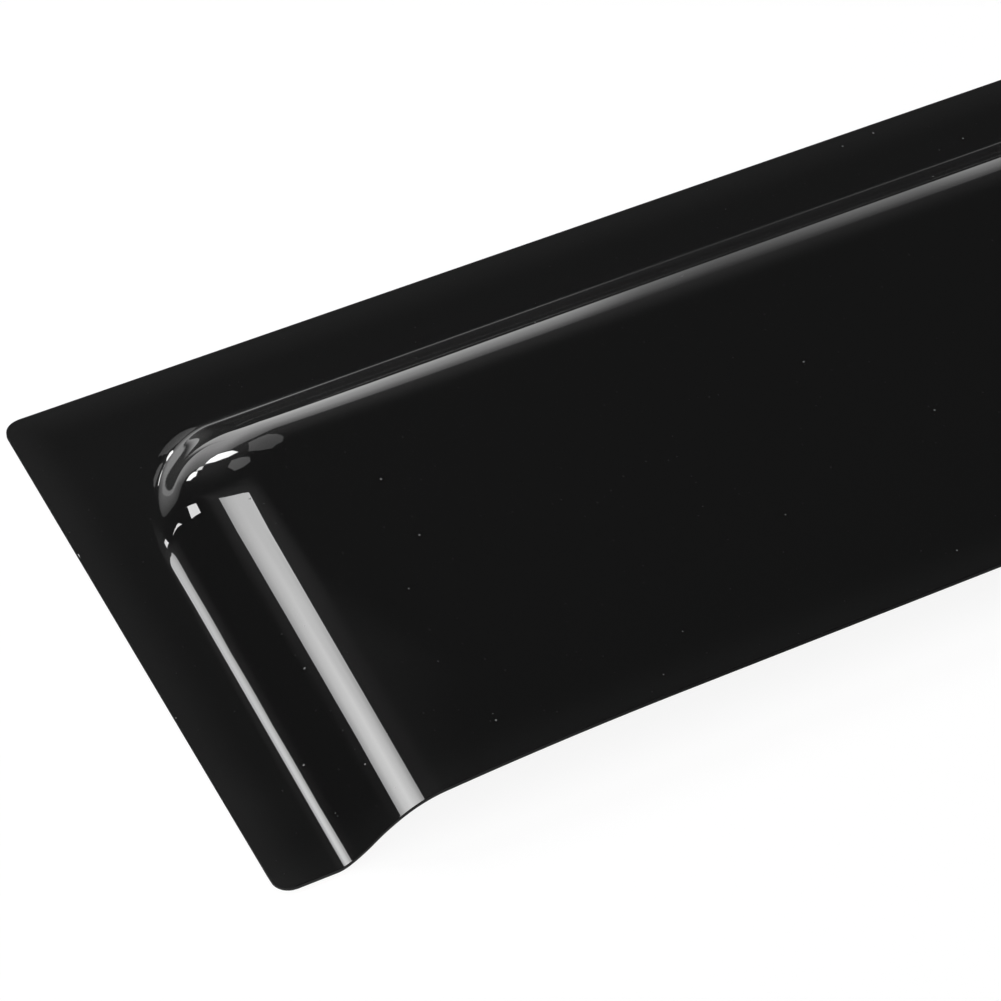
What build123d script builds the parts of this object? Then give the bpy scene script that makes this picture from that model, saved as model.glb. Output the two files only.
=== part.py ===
"""Window rain deflector: one thin gloss sheet, formed into a raised panel inside a flat rim.

The sheet lies on its back. +X runs along its length, +Y points to the rimmed top edge and
+Z up, out of the raised panel. Z = 0 is the rim's back, which is taped to the door frame.
"""
import math
import os

from build123d import *

# Driving dimensions, in millimetres and degrees
LENGTH = 640.0          # outline, end to end
WIDTH = 110.0           # outline, from the top edge to the free edge
OUTLINE_RADIUS = 4.0    # the outline's four corners
SHEET = 0.8             # thickness of the sheet, measured upright

TOP_RIM = 15.9          # rim along the top edge, in to where the wall's slope starts, near either end
TOP_BOW = 1.0           # how much narrower that rim is halfway along
TOP_SLOPE = 36.3        # slope of the top wall
END_RIM = 11.0          # rim at either end, measured at the free edge
END_LEAN = 3.0          # how far each end wall draws in, from the free edge to the top edge
END_SLOPE = 35.4        # slope of the end walls

PANEL_HEIGHT = 10.7     # rise of the panel's middle above the rim
CROWN = 1.7             # how much lower the panel lies where it meets the end walls
CROWN_RUN = 42.0        # length of panel over which it arches down to that

FOOT_RADIUS = 4.5       # hollow round between the rim and the walls
CREST_RADIUS = 16.0     # full round between the walls and the panel
FOOT_CORNER = 21.0      # plan radius of the walls' corners, down at the rim
CREST_CORNER = 3.5      # the same, up at the panel's height

# The forming block reaches past the sheet, and a crest fills no more than a share of its corner
MARGIN = 15.0
CREST_SHARE = 0.9


def wall_run(height, angle):
    """Plan length of a wall that climbs to a height at an angle."""
    return height / math.tan(math.radians(angle))


def wall_corner(height):
    """Plan radius of the walls' corners at a height: it draws in steadily up the walls."""
    return FOOT_CORNER + (CREST_CORNER - FOOT_CORNER) * height / PANEL_HEIGHT


def walls_at(height):
    """Area inside the walls at one height, run on past the free edge."""
    lean = END_LEAN / WIDTH
    top = WIDTH / 2 - TOP_RIM - wall_run(height, TOP_SLOPE)
    bottom = -WIDTH / 2 - MARGIN
    half = LENGTH / 2 - END_RIM - wall_run(height, END_SLOPE)
    half_top = half - lean * (top + WIDTH / 2)
    half_bottom = half + lean * MARGIN
    sides = Polyline((-half_top, top), (-half_bottom, bottom), (half_bottom, bottom), (half_top, top))
    area = make_face([sides, ThreePointArc((half_top, top), (0, top + TOP_BOW), (-half_top, top))])
    area = fillet(area.vertices().sort_by(Axis.Y)[-2:], wall_corner(height))
    return Pos(0, 0, height) * area


def crowned_stock():
    """Stock below the panel's face, which is level in the middle and arches down to both ends."""
    half = LENGTH / 2
    arch = END_RIM + wall_run(PANEL_HEIGHT, END_SLOPE) + CROWN_RUN
    radius = CROWN_RUN ** 2 / (2 * CROWN)
    low = PANEL_HEIGHT - radius + math.sqrt(radius ** 2 - arch ** 2)
    section = make_face([
        RadiusArc((-half, low), (arch - half, PANEL_HEIGHT), radius),
        Line((arch - half, PANEL_HEIGHT), (half - arch, PANEL_HEIGHT)),
        RadiusArc((half - arch, PANEL_HEIGHT), (half, low), radius),
        Polyline((half, low), (half, -MARGIN), (-half, -MARGIN), (-half, low)),
    ])
    return Pos(0, WIDTH / 2, 0) * extrude(Plane.XZ * section, WIDTH + MARGIN)


def over_sheet(edges):
    """Those of some edges that lie over the sheet's outline, away from the block's own sides."""
    return [e for e in edges if abs(e.center().X) < LENGTH / 2 and abs(e.center().Y) < WIDTH / 2]


def raised_panel():
    """The rise: sloping walls on three sides with drawn-in corners, under the crowned face."""
    walls = loft([walls_at(0), walls_at(PANEL_HEIGHT + SHEET)], ruled=True)
    stock = crowned_stock()
    panel = walls & stock
    crest = over_sheet(new_edges(walls, stock, combined=panel))
    steepest = math.radians(max(TOP_SLOPE, END_SLOPE))
    room = wall_corner(PANEL_HEIGHT - CROWN) / math.tan(steepest / 2)
    return fillet(crest, min(CREST_RADIUS, CREST_SHARE * room))


def forming_block():
    """Block whose upper face is the sheet's back: rim, hollow foot, walls, crest and panel."""
    base = Pos(0, 0, -MARGIN / 2) * Box(LENGTH + 2 * MARGIN, WIDTH + 2 * MARGIN, MARGIN)
    block = base + raised_panel()
    foot = over_sheet(block.edges().filter_by_position(Axis.Z, 0, 0))
    return fillet(foot, FOOT_RADIUS)


def deflector_sheet():
    """The sheet: what lies between the block and the same block one thickness higher."""
    block = forming_block()
    outline = RectangleRounded(LENGTH, WIDTH, OUTLINE_RADIUS)
    stock = extrude(outline, PANEL_HEIGHT + SHEET)
    return (stock & Pos(0, 0, SHEET) * block) - block


os.makedirs("parts", exist_ok=True)
export_step(deflector_sheet(), "parts/deflector_sheet.step")
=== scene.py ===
"""Looks of the window rain deflector: a black gloss sheet on a white studio floor.

The sheet lies as the solid does, with its rim's back on Z = 0. Its sizes are in millimetres. All else is in
metres, as the scene is, unless a comment says otherwise.
"""
import math
from collections import namedtuple

import bpy
import numpy as np
from mathutils import Matrix, Vector


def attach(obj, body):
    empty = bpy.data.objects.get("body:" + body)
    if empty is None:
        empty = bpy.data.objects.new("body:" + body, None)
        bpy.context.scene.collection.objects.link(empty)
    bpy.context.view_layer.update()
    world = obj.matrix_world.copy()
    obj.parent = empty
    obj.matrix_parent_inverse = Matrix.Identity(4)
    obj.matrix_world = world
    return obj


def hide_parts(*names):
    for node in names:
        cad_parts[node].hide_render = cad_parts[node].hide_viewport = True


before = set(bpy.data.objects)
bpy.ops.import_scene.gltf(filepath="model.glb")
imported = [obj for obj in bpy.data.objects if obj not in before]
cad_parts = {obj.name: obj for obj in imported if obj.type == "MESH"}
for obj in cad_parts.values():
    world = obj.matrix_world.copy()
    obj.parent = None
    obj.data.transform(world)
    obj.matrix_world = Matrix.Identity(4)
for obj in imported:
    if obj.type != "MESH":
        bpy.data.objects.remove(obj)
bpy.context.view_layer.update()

MM = 0.001

# The sheet's outline and edge
LENGTH = 640.0
WIDTH = 110.0
OUTLINE_RADIUS = 3.0
SHEET = 0.8
EDGE_ROUND = 0.12

# A wall is four arcs: a hollow foot, an S of two and a full crest. Its vertex is where the slope would start
# without the foot, and its slopes, in degrees, are those at the foot's end, at the steepest place and at the
# crest's start.
Wall = namedtuple("Wall", "vertex low steep high crest_radius")
TOP_WALL = Wall(vertex=14.48, low=32.0, steep=39.5, high=30.0, crest_radius=19.4)
TOP_BOW = 1.22
END_WALL = Wall(vertex=10.74, low=28.0, steep=42.0, high=28.0, crest_radius=13.0)
END_LEAN = 2.94

# Radius of the foot: the top wall's grows to the corner's over a span measured from the end
TOP_FOOT = 2.0
END_FOOT = 4.3
CORNER_FOOT = 5.0
CORNER_SPAN = (25.0, 65.0)

# The panel is level in the middle and arches down to its ends
PANEL_HEIGHT = 10.7
CROWN = 1.72
CROWN_RUN = 42.0
CROWN_FROM = 26.06

# Plan radius of the walls' corners along X, and how many times that it is along Y, by share of the panel's
# height
CORNER_RADIUS = [(0.0, 16.5), (0.12, 16.0), (0.3, 17.1), (0.5, 17.2), (0.7, 14.0), (0.85, 9.2), (1.0, -4.3)]
CORNER_STRETCH = [(0.0, 1.67), (0.33, 0.77), (0.67, 0.81), (1.0, 0.85)]
CORNER_LEAST = 0.3

# Mesh: spans of (start, end, step) in from an end and from the top edge, finest on the walls
END_SPANS = [(0.0, 4.0, 1.0), (4.0, 8.5, 0.75), (8.5, 46.0, 0.42), (46.0, 76.0, 1.5), (76.0, LENGTH / 2, 8.0)]
TOP_SPANS = [(4.0, 12.5, 0.85), (12.5, 46.0, 0.42), (46.0, WIDTH - 4.0, 1.6)]
TURN_ROWS = 9           # rows round each of the outline's corners
END_STRETCH = 8.0       # columns this close to an end follow those corners
HALVINGS = 44
LEAST_HEIGHT = 1e-9
SHARP_ANGLE = 30.0

# Polished black: the panel's grey, and painted light added as grey on the rim (which ends over a range of
# heights), towards the rim's outer edges and towards the free edge: the white floor's light seen through the
# sheet
ACRYLIC_IOR = 1.49
PANEL_GREY = 0.0038
RIM_PAINTED_GLOW = 0.0010
OUTER_PAINTED_GLOW = 0.0042
FREE_EDGE_PAINTED_GLOW = 0.0020
PAINTED_GLOW_REACH = 0.008
PAINTED_GLOW_RIM_HEIGHTS = (0.0009, 0.0030)
POLISH = 0.008
HANDLED = 0.012         # roughness added where it was handled most
HANDLED_SCALE = 45.0

# Dust: in each layer a share of the cells holds one speck, of at most a radius
Dust = namedtuple("Dust", "scale share radius strength")
DUST_LAYERS = [
    Dust(scale=150.0, share=0.06, radius=0.00024, strength=1.0),
    Dust(scale=620.0, share=0.07, radius=0.00016, strength=0.2),
]
DUST_LEAST = 0.4        # the smallest speck, as a share of that radius
DUST_EDGE = (0.5, 1.0)  # where a speck fades, as shares of its own radius
DUST_GREY = 0.10
DUST_ROUGH = 0.4

# Draw lines: fine level steps on the steep part of the top wall
DRAW_LINES = 1500.0
DRAW_DEPTH = 0.014 * MM
DRAW_STEP = (0.46, 0.54)
DRAW_FACING = (0.52, 0.6)

# Sawn edge: its grey and roughness, each the least and what the saw's marks add at most
EDGE_SPECULAR = 0.12
SAW_SCALE = 1500.0
EDGE_GREY = (0.003, 0.004)
EDGE_ROUGH = (0.5, 0.2)

# Studio behind the sheet: the floor and the low card glow by their bearing from a point in front, sideways
# over ahead
FLOOR = -0.0001
FLOOR_PAPER = 0.85
FLOOR_WHITE = 0.9       # share of plain white that the camera sees; the rest is paper with its shadow
STAGE_REACH = 6.0
CARD_BACK = 2.2
CARD_TOP = 0.46
CARD_FADE = 0.5
BEARING_FROM = (-0.4375, -0.55)
LEAST_AHEAD = 0.1
GLOW_LEVELS = [
    (-1.0, 1.0), (-0.2, 1.05), (-0.1, 1.8), (0.0, 1.8), (0.278, 1.65), (0.308, 1.3), (0.339, 1.13),
    (0.3645, 1.0), (0.386, 0.53), (0.4115, 0.39), (0.432, 0.41), (0.4576, 0.51), (0.483, 0.56),
    (0.501, 0.78), (0.7, 0.78),
]

# It is dim close behind the near end, and dimmer where it is mirrored twice
DIM_REACH = (0.092, 0.11)
DIM_BEARING = (0.226, 0.24)
DIM_LEVEL = 0.12
TWICE_MIRRORED = 0.35

# Softbox over the near end: rows of points across it, right and up in its own plane in millimetres, and the
# level at each
WALL_MIDDLE = Vector((-0.298, -0.015, 0.008))
BOX_AZIMUTH = -25.0
BOX_ELEVATION = 44.0
BOX_DISTANCE = 0.5
BOX_RADIANCE = 10.0
BOX_ROWS = [
    [(-53, -96), (-25, -66), (27, -23), (78, 14), (100, 29)],
    [(-71, -89), (-40, -64), (6, -28), (51, 9), (82, 34)],
    [(-93, -69), (-62, -44), (-16, -7), (29, 31), (60, 56)],
    [(-124, -44), (-93, -18), (-46, 21), (1, 60), (32, 86)],
    [(-147, -32), (-116, -5), (-70, 34), (-20, 76), (8, 107)],
    [(-240, 40), (-205, 66), (-150, 105), (-95, 144), (-60, 170)],
]
BOX_LEVELS = [
    [0.62, 0.86, 1.0, 1.0, 1.05],
    [0.62, 0.86, 1.0, 1.0, 1.05],
    [0.62, 0.95, 1.18, 1.06, 0.88],
    [0.64, 1.12, 1.36, 1.02, 0.6],
    [0.66, 1.16, 1.42, 1.05, 0.56],
    [0.68, 1.2, 1.48, 1.1, 0.58],
]

# Its soft spill on the room behind: one row more before the box's first, shifted from it, and wider than the
# box on its left and right, in millimetres
SPILL_DISTANCE = 0.52
SPILL_RADIANCE = 0.3
SPILL_WIDTHS = (70.0, 220.0)
SPILL_SHIFT = (66, -45)
SPILL_ROW_LEVELS = [0.0, 1.0, 1.0, 0.8, 0.5, 0.3, 0.1]
SPILL_ACROSS = [0.0, 1.0, 1.0, 0.0]

# Far cards that the near corner mirrors: radiance, and the azimuth and elevation of each point seen from it
CORNER = Vector((-0.296, 0.025, 0.008))
FAR_DISTANCE = 1.0
FAR_CARDS = {
    "window_streak": (12.0, [
        (-4.8, 10.5), (-2.4, 7.9), (-0.9, 7.2), (0.7, 13.8), (0.4, 18.9), (-2.2, 17.8), (-4.7, 13.1)]),
    "window_block": (14.0, [
        (-15.2, 13.7), (-10.8, 12.7), (-8.5, 12.6), (-8.4, 13.6), (-11.4, 16.2), (-14.6, 16.5)]),
    "window_chip": (8.0, [(-8.0, 12.7), (-6.0, 11.2), (-5.8, 11.6), (-7.8, 13.7)]),
    "grey_oval": (1.2, [
        (-6.7, 25.8), (-3.4, 22.7), (-1.4, 25.5), (1.5, 32.6), (1.9, 37.5), (-2.7, 35.6), (-7.1, 32.0)]),
    "dim_patch": (0.8, [
        (4.8, 14.5), (8.3, 14.8), (12.2, 16.5), (14.5, 21.7), (15.0, 30.4), (15.2, 37.0), (13.1, 41.2),
        (7.0, 35.0), (2.0, 25.5)]),
}

# A small card close over the near corner
SQUARE = [
    (-0.3177, 0.0371, 0.0135), (-0.3152, 0.0362, 0.0165),
    (-0.3155, 0.0339, 0.0163), (-0.3183, 0.0345, 0.0129),
]
SQUARE_RADIANCE = 14.0

# One soft lamp overhead
LAMP_PLACE = (0.0, -0.5, 2.2)
LAMP_SIZE = 2.4
LAMP_RADIANCE = 3.2

# Haze all round, brighter low down between two sides; heights and sides are those of a unit heading
HAZE = 0.058
LOW_HAZE = 0.14
HAZE_HEIGHT = (0.28, 0.6)
HAZE_LEFT = (-0.35, -0.1)
HAZE_RIGHT = (0.27, 0.5)
HAZE_RIGHT_LEVEL = 0.3

# Camera: the picture and the focal length in pixels, the sensor in millimetres, and the place that it looks
# at, in millimetres in from the near end and the top edge
PICTURE = 1001
SENSOR = 36.0
FOCAL = 3900.0
CAMERA_ELEVATION = 46.241
CAMERA_AZIMUTH = -27.021
CAMERA_DISTANCE = 0.635992
LOOKS_AT = (66.382, 52.331)

WHITE = (1, 1, 1, 1)


# Form of the sheet

def inset(z, panel, wall, foot_radius):
    """How far in from the outline a wall's back reaches a height, under a panel of its own height."""
    low, steep, high = (math.radians(v) for v in (wall.low, wall.steep, wall.high))
    start = wall.vertex - foot_radius * math.tan(low / 2)
    crest_rise = wall.crest_radius * (1 - math.cos(high))
    z_low = foot_radius * (1 - math.cos(low))
    radius = (panel - z_low - crest_rise) / (math.cos(low) + math.cos(high) - 2 * math.cos(steep))
    z_steep = z_low + radius * (math.cos(low) - math.cos(steep))
    z_high = z_steep + radius * (math.cos(high) - math.cos(steep))
    in_low = start + foot_radius * math.sin(low)
    in_steep = in_low + radius * (math.sin(steep) - math.sin(low))
    in_high = in_steep + radius * (math.sin(steep) - math.sin(high))

    def sine(cosine):
        return np.sqrt(1 - np.clip(cosine, 0, 1) ** 2)

    foot = start + foot_radius * sine(1 - z / foot_radius)
    lower = in_low + radius * (sine(math.cos(low) - (z - z_low) / radius) - math.sin(low))
    upper = in_steep + radius * (math.sin(steep) - sine(math.cos(steep) + (z - z_steep) / radius))
    crest_sine = sine(math.cos(high) + (z - z_high) / wall.crest_radius)
    crest = in_high + wall.crest_radius * (math.sin(high) - crest_sine)
    return np.where(z < z_low, foot, np.where(z < z_steep, lower, np.where(z < z_high, upper, crest)))


def fair_curve(points, at):
    """Values at places on the natural cubic spline through points."""
    knots, values = (np.array(v) for v in zip(*points))
    step = np.diff(knots)
    slope = np.diff(values) / step
    n = len(knots)
    system = np.eye(n)
    bend = np.zeros(n)
    for i in range(1, n - 1):
        system[i, i - 1:i + 2] = step[i - 1], 2 * (step[i - 1] + step[i]), step[i]
        bend[i] = 3 * (slope[i] - slope[i - 1])
    second = np.linalg.solve(system, bend)
    i = np.clip(np.searchsorted(knots, at, side="right") - 1, 0, n - 2)
    gap = at - knots[i]
    first = slope[i] - step[i] * (2 * second[i] + second[i + 1]) / 3
    third = (second[i + 1] - second[i]) / (3 * step[i])
    return values[i] + gap * (first + gap * (second[i] + gap * third))


def back_height(x, y):
    """Height of the sheet's back over points of the outline, found by halving."""
    from_end = LENGTH / 2 - np.abs(x)
    end = from_end - END_LEAN / WIDTH * (y + WIDTH / 2)
    top = WIDTH / 2 - y - TOP_BOW * (2 * x / LENGTH) ** 2
    reach = np.maximum(CROWN_FROM + CROWN_RUN - from_end, 0)
    panel = PANEL_HEIGHT - reach ** 2 * CROWN / CROWN_RUN ** 2
    near = np.clip((CORNER_SPAN[1] - from_end) / (CORNER_SPAN[1] - CORNER_SPAN[0]), 0, 1)
    top_foot = TOP_FOOT + (CORNER_FOOT - TOP_FOOT) * near ** 2 * (3 - 2 * near)
    low = np.zeros_like(x)
    high = panel.copy()
    for _ in range(HALVINGS):
        z = (low + high) / 2
        past_end = end - inset(z, panel, END_WALL, END_FOOT)
        past_top = top - inset(z, panel, TOP_WALL, top_foot)
        round_x = np.maximum(fair_curve(CORNER_RADIUS, z / PANEL_HEIGHT), CORNER_LEAST)
        round_y = round_x * fair_curve(CORNER_STRETCH, z / PANEL_HEIGHT)
        in_corner = (past_end < round_x) & (past_top < round_y)
        rounded = 1 - np.hypot(1 - past_end / round_x, 1 - past_top / round_y)
        inside = np.where(in_corner, rounded, np.minimum(past_end, past_top)) > 0
        low = np.where(inside, z, low)
        high = np.where(inside, high, z)
    return np.where(low < LEAST_HEIGHT, 0.0, low)


def stations(spans):
    """Grid stations along spans of (start, end, step)."""
    out = [spans[0][0]]
    for start, end, step in spans:
        n = max(1, round((end - start) / step))
        out += [start + (end - start) * i / n for i in range(1, n + 1)]
    return np.array(out)


def sheet_grid():
    """Plan grid of the sheet, row by row, with its end columns bent round the outline's corners."""
    half, deep = LENGTH / 2, WIDTH / 2
    turn = OUTLINE_RADIUS * (1 - np.cos(np.linspace(0, math.pi / 2, TURN_ROWS)))
    left = stations(END_SPANS) - half
    xs = np.concatenate([left, -left[-2::-1]])
    ys = np.concatenate([deep - turn, deep - stations(TOP_SPANS)[1:], (turn - deep)[-2::-1]])
    gap = np.minimum(deep - np.abs(ys), OUTLINE_RADIUS)
    end = half - OUTLINE_RADIUS + np.sqrt(OUTLINE_RADIUS ** 2 - (OUTLINE_RADIUS - gap) ** 2)
    grid_x, grid_y = np.meshgrid(xs, ys)
    plain = half - END_STRETCH
    beyond = np.maximum(np.abs(grid_x) - plain, 0) * ((end - plain) / END_STRETCH)[:, None]
    return np.sign(grid_x) * (np.minimum(np.abs(grid_x), plain) + beyond), grid_y


def sheet_mesh():
    """Closed mesh of the sheet: face, back and a finely rounded edge between them."""
    grid_x, grid_y = sheet_grid()
    rows, cols = grid_x.shape
    count = rows * cols
    index = np.arange(count).reshape(rows, cols)
    ring = np.concatenate([index[0, :-1], index[:-1, -1], index[-1, :0:-1], index[:0:-1, 0]])
    flat = np.stack([grid_x, grid_y, back_height(grid_x, grid_y)], -1).reshape(-1, 3)
    rim = flat[ring]
    ahead = np.roll(rim, -1, 0) - np.roll(rim, 1, 0)
    inward = np.stack([ahead[:, 1], -ahead[:, 0]], 1)
    inward /= np.linalg.norm(inward, axis=1)[:, None]

    face = flat + (0, 0, SHEET)
    back = flat.copy()
    for surface in (face, back):
        surface[ring, :2] += inward * EDGE_ROUND
    upper = rim + (0, 0, SHEET - EDGE_ROUND)
    lower = rim + (0, 0, EDGE_ROUND)
    points = np.concatenate([face, back, upper, lower])

    quads = np.stack([index[:-1, :-1], index[1:, :-1], index[1:, 1:], index[:-1, 1:]], -1).reshape(-1, 4)
    n = len(ring)
    here, after = np.arange(n), np.roll(np.arange(n), -1)
    up, low = 2 * count, 2 * count + n
    bands = [
        np.stack([ring[here], ring[after], up + after, up + here], 1),
        np.stack([up + here, up + after, low + after, low + here], 1),
        np.stack([low + here, low + after, count + ring[after], count + ring[here]], 1),
    ]
    faces = np.concatenate([quads, quads[:, ::-1] + count] + bands)
    mesh = bpy.data.meshes.new("sheet")
    mesh.from_pydata((points * MM).tolist(), [], faces.tolist())
    mesh.polygons.foreach_set("material_index", [0] * (2 * len(quads)) + [1] * (len(bands) * n))
    mesh.validate()
    mesh.shade_smooth()
    mesh.set_sharp_from_angle(angle=math.radians(SHARP_ANGLE))
    return mesh


# Materials

def node_material(name):
    """New material with nodes, and its node tree."""
    mat = bpy.data.materials.new(name)
    mat.use_nodes = True
    return mat, mat.node_tree


def node(tree, kind, **values):
    """One shader node, with its settings and unlinked inputs set."""
    n = tree.nodes.new(kind)
    for key, value in values.items():
        if hasattr(n, key):
            setattr(n, key, value)
        else:
            n.inputs[key].default_value = value
    return n


def maths(tree, operation, *values):
    """Math node on sockets and numbers; its result."""
    n = tree.nodes.new("ShaderNodeMath")
    n.operation = operation
    for slot, value in zip(n.inputs, values):
        if isinstance(value, (int, float)):
            slot.default_value = value
        else:
            tree.links.new(value, slot)
    return n.outputs[0]


def ramped(tree, value, start, end, low=0.0, high=1.0):
    """A value taken smoothly from one range to another; the result."""
    n = tree.nodes.new("ShaderNodeMapRange")
    n.interpolation_type = "SMOOTHSTEP"
    tree.links.new(value, n.inputs["Value"])
    for key, number in (("From Min", start), ("From Max", end), ("To Min", low), ("To Max", high)):
        n.inputs[key].default_value = number
    return n.outputs["Result"]


def levelled(tree, value, stops):
    """Level that follows stops of (value, level), straight between them; the result."""
    first, last = stops[0][0], stops[-1][0]
    peak = max(level for _, level in stops)
    span = node(tree, "ShaderNodeMapRange")
    span.inputs["From Min"].default_value = first
    span.inputs["From Max"].default_value = last
    graph = node(tree, "ShaderNodeValToRGB")
    points = graph.color_ramp.elements
    while len(points) < len(stops):
        points.new(1.0)
    for point, (where, level) in zip(points, stops):
        point.position = (where - first) / (last - first)
        point.color = (level / peak, level / peak, level / peak, 1)
    tree.links.new(value, span.inputs["Value"])
    tree.links.new(span.outputs["Result"], graph.inputs["Fac"])
    return maths(tree, "MULTIPLY", graph.outputs["Color"], peak)


def grey_tone(tree, level, shader):
    """Links a level to a shader's base colour, as a grey."""
    tone = node(tree, "ShaderNodeCombineColor")
    for slot in tone.inputs[:3]:
        tree.links.new(level, slot)
    tree.links.new(tone.outputs[0], shader.inputs["Base Color"])


def specks(tree, place, layer):
    """Round specks strewn over the plan; the result is the layer's strength on a speck, and 0 elsewhere."""
    cells = node(tree, "ShaderNodeTexVoronoi", voronoi_dimensions="2D", Scale=layer.scale, Randomness=1.0)
    tree.links.new(place, cells.inputs["Vector"])
    split = node(tree, "ShaderNodeSeparateColor")
    tree.links.new(cells.outputs["Color"], split.inputs[0])
    chosen = maths(tree, "LESS_THAN", split.outputs[0], layer.share)
    most = layer.radius * layer.scale
    reach = maths(tree, "MULTIPLY_ADD", split.outputs[1], (1 - DUST_LEAST) * most, DUST_LEAST * most)
    near = maths(tree, "DIVIDE", cells.outputs["Distance"], reach)
    return maths(tree, "MULTIPLY", chosen, ramped(tree, near, *DUST_EDGE, layer.strength, 0.0))


def gloss_black():
    """Black acrylic: polished, with sparse dust and draw lines, and painted light greying the rim and the
    free edge.
    """
    mat, tree = node_material("gloss_black")
    link = tree.links.new
    shader = tree.nodes["Principled BSDF"]
    shader.inputs["IOR"].default_value = ACRYLIC_IOR
    place = node(tree, "ShaderNodeTexCoord")
    split = node(tree, "ShaderNodeSeparateXYZ")
    link(place.outputs["Object"], split.inputs[0])
    x, y, z = split.outputs
    half, deep = LENGTH / 2 * MM, WIDTH / 2 * MM

    # Painted light: grey for the floor's light through the sheet, on the rim and towards the free edge
    from_end = maths(tree, "SUBTRACT", half, maths(tree, "ABSOLUTE", x))
    from_top = maths(tree, "SUBTRACT", deep, y)
    outer = ramped(tree, maths(tree, "MINIMUM", from_end, from_top), 0.0, PAINTED_GLOW_REACH, 1.0, 0.0)
    rim = ramped(tree, z, *PAINTED_GLOW_RIM_HEIGHTS, 1.0, 0.0)
    free = ramped(tree, y, -deep, PAINTED_GLOW_REACH - deep, 1.0, 0.0)
    grey = maths(tree, "MULTIPLY", rim, maths(tree, "MULTIPLY_ADD", outer, OUTER_PAINTED_GLOW, RIM_PAINTED_GLOW))
    grey = maths(tree, "MULTIPLY_ADD", free, FREE_EDGE_PAINTED_GLOW, grey)
    grey = maths(tree, "ADD", grey, PANEL_GREY)

    dust = 0.0
    for layer in DUST_LAYERS:
        dust = maths(tree, "MAXIMUM", dust, specks(tree, place.outputs["Object"], layer))
    grey_tone(tree, maths(tree, "MULTIPLY_ADD", dust, DUST_GREY, grey), shader)
    handled = node(tree, "ShaderNodeTexNoise", Scale=HANDLED_SCALE, Detail=3.0)
    link(place.outputs["Object"], handled.inputs["Vector"])
    rough = maths(tree, "MULTIPLY_ADD", handled.outputs["Fac"], HANDLED, POLISH)
    link(maths(tree, "MULTIPLY_ADD", dust, DUST_ROUGH, rough), shader.inputs["Roughness"])

    lines = node(tree, "ShaderNodeTexNoise", noise_dimensions="1D", Scale=DRAW_LINES, Detail=1.0)
    facing = node(tree, "ShaderNodeSeparateXYZ")
    bump = node(tree, "ShaderNodeBump", Distance=DRAW_DEPTH)
    link(place.outputs["Normal"], facing.inputs[0])
    link(ramped(tree, facing.outputs["Y"], *DRAW_FACING), bump.inputs["Strength"])
    link(z, lines.inputs["W"])
    link(ramped(tree, lines.outputs["Fac"], *DRAW_STEP), bump.inputs["Height"])
    link(bump.outputs[0], shader.inputs["Normal"])
    return mat


def cut_edge():
    """The sheet's sawn edge: the same black, dull, with the saw's marks in its grey and its roughness."""
    mat, tree = node_material("cut_edge")
    shader = tree.nodes["Principled BSDF"]
    shader.inputs["Specular IOR Level"].default_value = EDGE_SPECULAR
    saw = node(tree, "ShaderNodeTexNoise", Scale=SAW_SCALE, Detail=2.0)
    place = node(tree, "ShaderNodeTexCoord")
    tree.links.new(place.outputs["Object"], saw.inputs["Vector"])
    least, more = EDGE_ROUGH
    tree.links.new(maths(tree, "MULTIPLY_ADD", saw.outputs["Fac"], more, least), shader.inputs["Roughness"])
    least, more = EDGE_GREY
    grey_tone(tree, maths(tree, "MULTIPLY_ADD", saw.outputs["Fac"], more, least), shader)
    return mat


def studio_glow(tree):
    """Level of the studio's glow at a place, by its bearing and dim close to the near end; and its height."""
    place = node(tree, "ShaderNodeNewGeometry")
    split = node(tree, "ShaderNodeSeparateXYZ")
    tree.links.new(place.outputs["Position"], split.inputs[0])
    x, y, z = split.outputs
    ahead = maths(tree, "MAXIMUM", maths(tree, "SUBTRACT", y, BEARING_FROM[1]), LEAST_AHEAD)
    bearing = maths(tree, "DIVIDE", maths(tree, "SUBTRACT", x, BEARING_FROM[0]), ahead)
    behind = ramped(tree, y, *DIM_REACH, DIM_LEVEL)
    beside = ramped(tree, bearing, *DIM_BEARING, DIM_LEVEL)
    clear = maths(tree, "MAXIMUM", behind, beside)
    level = maths(tree, "MULTIPLY", levelled(tree, bearing, GLOW_LEVELS), clear)
    bounces = node(tree, "ShaderNodeLightPath").outputs["Ray Depth"]
    return maths(tree, "MULTIPLY", level, ramped(tree, bounces, 1.0, 2.0, 1.0, TWICE_MIRRORED)), z


def floor_white():
    """White paper, clear from below: white with a faint shadow to the camera, by its levels in the gloss."""
    mat, tree = node_material("floor_white")
    tree.nodes.clear()
    link = tree.links.new
    out = node(tree, "ShaderNodeOutputMaterial")
    paper = node(tree, "ShaderNodeBsdfDiffuse", Color=(FLOOR_PAPER, FLOOR_PAPER, FLOOR_PAPER, 1))
    white = node(tree, "ShaderNodeEmission", Color=WHITE)
    path = node(tree, "ShaderNodeLightPath")
    mirrored = maths(tree, "MULTIPLY", path.outputs["Is Glossy Ray"], studio_glow(tree)[0])
    link(maths(tree, "MAXIMUM", path.outputs["Is Camera Ray"], mirrored), white.inputs["Strength"])
    mix = node(tree, "ShaderNodeMixShader")
    share = maths(tree, "MULTIPLY", path.outputs["Is Camera Ray"], FLOOR_WHITE)
    link(maths(tree, "MAXIMUM", share, path.outputs["Is Glossy Ray"]), mix.inputs[0])
    link(paper.outputs[0], mix.inputs[1])
    link(white.outputs[0], mix.inputs[2])
    sides = node(tree, "ShaderNodeMixShader")
    link(node(tree, "ShaderNodeNewGeometry").outputs["Backfacing"], sides.inputs[0])
    link(mix.outputs[0], sides.inputs[1])
    link(node(tree, "ShaderNodeBsdfTransparent").outputs[0], sides.inputs[2])
    link(sides.outputs[0], out.inputs["Surface"])
    return mat


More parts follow.
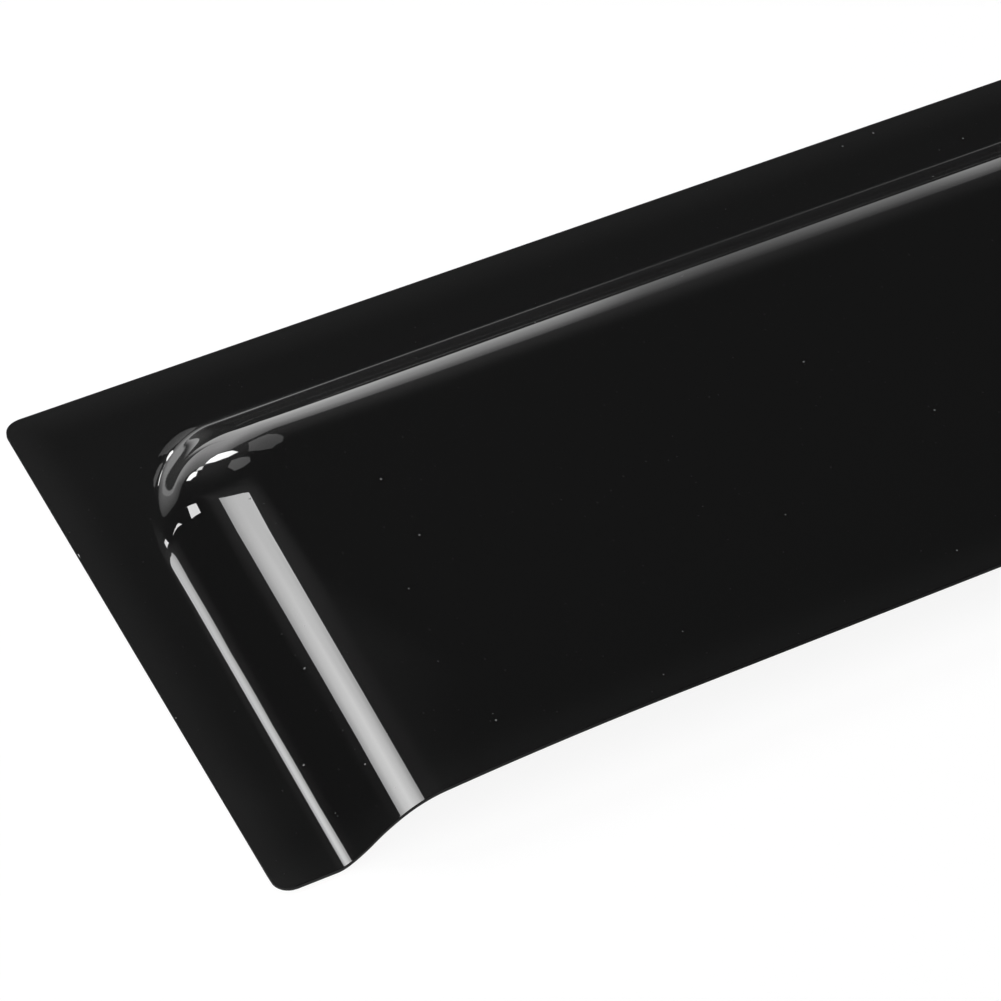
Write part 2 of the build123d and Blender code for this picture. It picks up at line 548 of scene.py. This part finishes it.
def card_white():
    """The low card behind: it glows by its levels and fades towards its top."""
    mat, tree = node_material("card_white")
    tree.nodes.clear()
    out = node(tree, "ShaderNodeOutputMaterial")
    glow = node(tree, "ShaderNodeEmission", Color=WHITE)
    level, height = studio_glow(tree)
    rise = levelled(tree, height, [(0.0, 1.0), (CARD_TOP, CARD_FADE)])
    tree.links.new(maths(tree, "MULTIPLY", level, rise), glow.inputs["Strength"])
    tree.links.new(glow.outputs[0], out.inputs["Surface"])
    return mat


def see_through_glow(name, radiance):
    """Glow added to what lies behind it: the radiance times the level at each point of the mesh."""
    mat, tree = node_material(name)
    tree.nodes.clear()
    share = node(tree, "ShaderNodeAttribute", attribute_name="level")
    glow = node(tree, "ShaderNodeEmission", Color=WHITE)
    clear = node(tree, "ShaderNodeBsdfTransparent")
    both = node(tree, "ShaderNodeAddShader")
    out = node(tree, "ShaderNodeOutputMaterial")
    tree.links.new(maths(tree, "MULTIPLY", share.outputs["Fac"], radiance), glow.inputs["Strength"])
    tree.links.new(clear.outputs[0], both.inputs[0])
    tree.links.new(glow.outputs[0], both.inputs[1])
    tree.links.new(both.outputs[0], out.inputs["Surface"])
    return mat


# Stage, lights and camera

def placed(name, data):
    """New object of some data, put into the scene."""
    obj = bpy.data.objects.new(name, data)
    bpy.context.scene.collection.objects.link(obj)
    return obj


def flat_mesh(name, points, faces, material):
    """Mesh of flat faces through points, in one material."""
    mesh = bpy.data.meshes.new(name)
    mesh.from_pydata([tuple(p) for p in points], [], faces)
    mesh.materials.append(material)
    return mesh


def aim(obj, place, target):
    """Puts an object at a place, its -Z axis on a target and its Y axis upright."""
    direction = Vector(target) - Vector(place)
    obj.matrix_world = Matrix.Translation(place) @ direction.to_track_quat("-Z", "Y").to_matrix().to_4x4()


def heading(azimuth, elevation):
    """Unit vector: azimuth from +Y to +X, elevation above the floor."""
    az, el = math.radians(azimuth), math.radians(elevation)
    return Vector((math.sin(az) * math.cos(el), math.cos(az) * math.cos(el), math.sin(el)))


def lit_card(name, points, faces, radiance, levels=None):
    """Glowing card in the studio that the camera doesn't see; levels scale its radiance at each point."""
    mesh = flat_mesh(name, points, faces, see_through_glow(name, radiance))
    shares = mesh.attributes.new("level", "FLOAT", "POINT")
    shares.data.foreach_set("value", levels or [1.0] * len(points))
    obj = placed(name, mesh)
    obj.visible_camera = False


def box_place(u, v, distance):
    """Place that is seen from the wall in the direction of a point of the softbox, at a distance."""
    out = heading(BOX_AZIMUTH, BOX_ELEVATION)
    right = heading(BOX_AZIMUTH + 90, 0)
    up = right.cross(out)
    return WALL_MIDDLE + out * distance + (right * u + up * v) * MM * distance / BOX_DISTANCE


def grid_faces(rows, columns):
    """Faces of a grid whose points are listed row by row."""
    return [(i * columns + j, i * columns + j + 1, (i + 1) * columns + j + 1, (i + 1) * columns + j)
            for i in range(rows - 1) for j in range(columns - 1)]


def softbox():
    """The long softbox over the near end."""
    points = [box_place(u, v, BOX_DISTANCE) for row in BOX_ROWS for u, v in row]
    levels = [level for row in BOX_LEVELS for level in row]
    lit_card("softbox", points, grid_faces(len(BOX_ROWS), len(BOX_ROWS[0])), BOX_RADIANCE, levels)


def spill():
    """The softbox's spill behind it: level across the box, and fading out to either side and to both ends."""
    points = []
    for row in [[(u + SPILL_SHIFT[0], v + SPILL_SHIFT[1]) for u, v in BOX_ROWS[0]]] + BOX_ROWS:
        first, last = Vector(row[0]), Vector(row[-1])
        along = (last - first).normalized()
        across = (first - along * SPILL_WIDTHS[0], first, last, last + along * SPILL_WIDTHS[1])
        points += [box_place(u, v, SPILL_DISTANCE) for u, v in across]
    levels = [level * share for level in SPILL_ROW_LEVELS for share in SPILL_ACROSS]
    lit_card("spill", points, grid_faces(len(SPILL_ROW_LEVELS), len(SPILL_ACROSS)), SPILL_RADIANCE, levels)


def small_cards():
    """The window and the grey patches that the near corner mirrors, and the small square close by."""
    for name, (radiance, corners) in FAR_CARDS.items():
        points = [CORNER + heading(*c) * FAR_DISTANCE for c in corners]
        lit_card(name, points, [tuple(range(len(points)))], radiance)
    lit_card("square", SQUARE, [(0, 1, 2, 3)], SQUARE_RADIANCE)


def soft_lamp():
    """Square soft lamp of an even radiance, aimed at the sheet's middle."""
    data = bpy.data.lights.new("top_soft", "AREA")
    data.shape = "RECTANGLE"
    data.size = LAMP_SIZE
    data.size_y = LAMP_SIZE
    data.energy = LAMP_RADIANCE * math.pi * LAMP_SIZE ** 2
    aim(placed("top_soft", data), LAMP_PLACE, (0.0, 0.0, 0.0))


def studio_world():
    """The room's haze, and plain white to the camera."""
    world = bpy.data.worlds.new("studio")
    bpy.context.scene.world = world
    world.use_nodes = True
    tree = world.node_tree
    look = node(tree, "ShaderNodeTexCoord")
    split = node(tree, "ShaderNodeSeparateXYZ")
    tree.links.new(look.outputs["Generated"], split.inputs[0])
    low = ramped(tree, split.outputs["Z"], *HAZE_HEIGHT, 1.0, 0.0)
    left = ramped(tree, split.outputs["X"], *HAZE_LEFT)
    right = ramped(tree, split.outputs["X"], *HAZE_RIGHT, 1.0, HAZE_RIGHT_LEVEL)
    lit = maths(tree, "MULTIPLY", low, maths(tree, "MULTIPLY", left, right))
    haze = maths(tree, "MULTIPLY_ADD", lit, LOW_HAZE, HAZE)
    seen = node(tree, "ShaderNodeLightPath").outputs["Is Camera Ray"]
    background = tree.nodes["Background"]
    tree.links.new(maths(tree, "MAXIMUM", haze, seen), background.inputs["Strength"])
    background.inputs["Color"].default_value = WHITE


def photo_camera():
    """Camera at the photo's viewing angle."""
    data = bpy.data.cameras.new("camera")
    data.sensor_width = SENSOR
    data.lens = FOCAL * SENSOR / PICTURE
    target = Vector(((LOOKS_AT[0] - LENGTH / 2) * MM, (WIDTH / 2 - LOOKS_AT[1]) * MM, 0.0))
    el, az = math.radians(CAMERA_ELEVATION), math.radians(CAMERA_AZIMUTH)
    back = Vector((math.sin(az) * math.cos(el), -math.cos(az) * math.cos(el), math.sin(el)))
    camera = placed("camera", data)
    aim(camera, target + back * CAMERA_DISTANCE, target)
    bpy.context.scene.camera = camera


# The piece

sheet = placed("deflector_skin", sheet_mesh())
sheet.data.materials.append(gloss_black())
sheet.data.materials.append(cut_edge())
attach(sheet, "root")
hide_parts("deflector_sheet")

# The studio

floor_corners = [(-STAGE_REACH, -STAGE_REACH), (STAGE_REACH, -STAGE_REACH), (STAGE_REACH, CARD_BACK),
                 (-STAGE_REACH, CARD_BACK)]
floor_points = [(x, y, FLOOR) for x, y in floor_corners]
floor = placed("floor", flat_mesh("floor", floor_points, [(0, 1, 2, 3)], floor_white()))

card_corners = [(-STAGE_REACH, 0), (STAGE_REACH, 0), (STAGE_REACH, CARD_TOP), (-STAGE_REACH, CARD_TOP)]
card_points = [(x, CARD_BACK, z) for x, z in card_corners]
card = placed("card", flat_mesh("card", card_points, [(0, 1, 2, 3)], card_white()))

soft_lamp()
softbox()
spill()
small_cards()
studio_world()
photo_camera()

bpy.context.scene.view_settings.view_transform = "Standard"
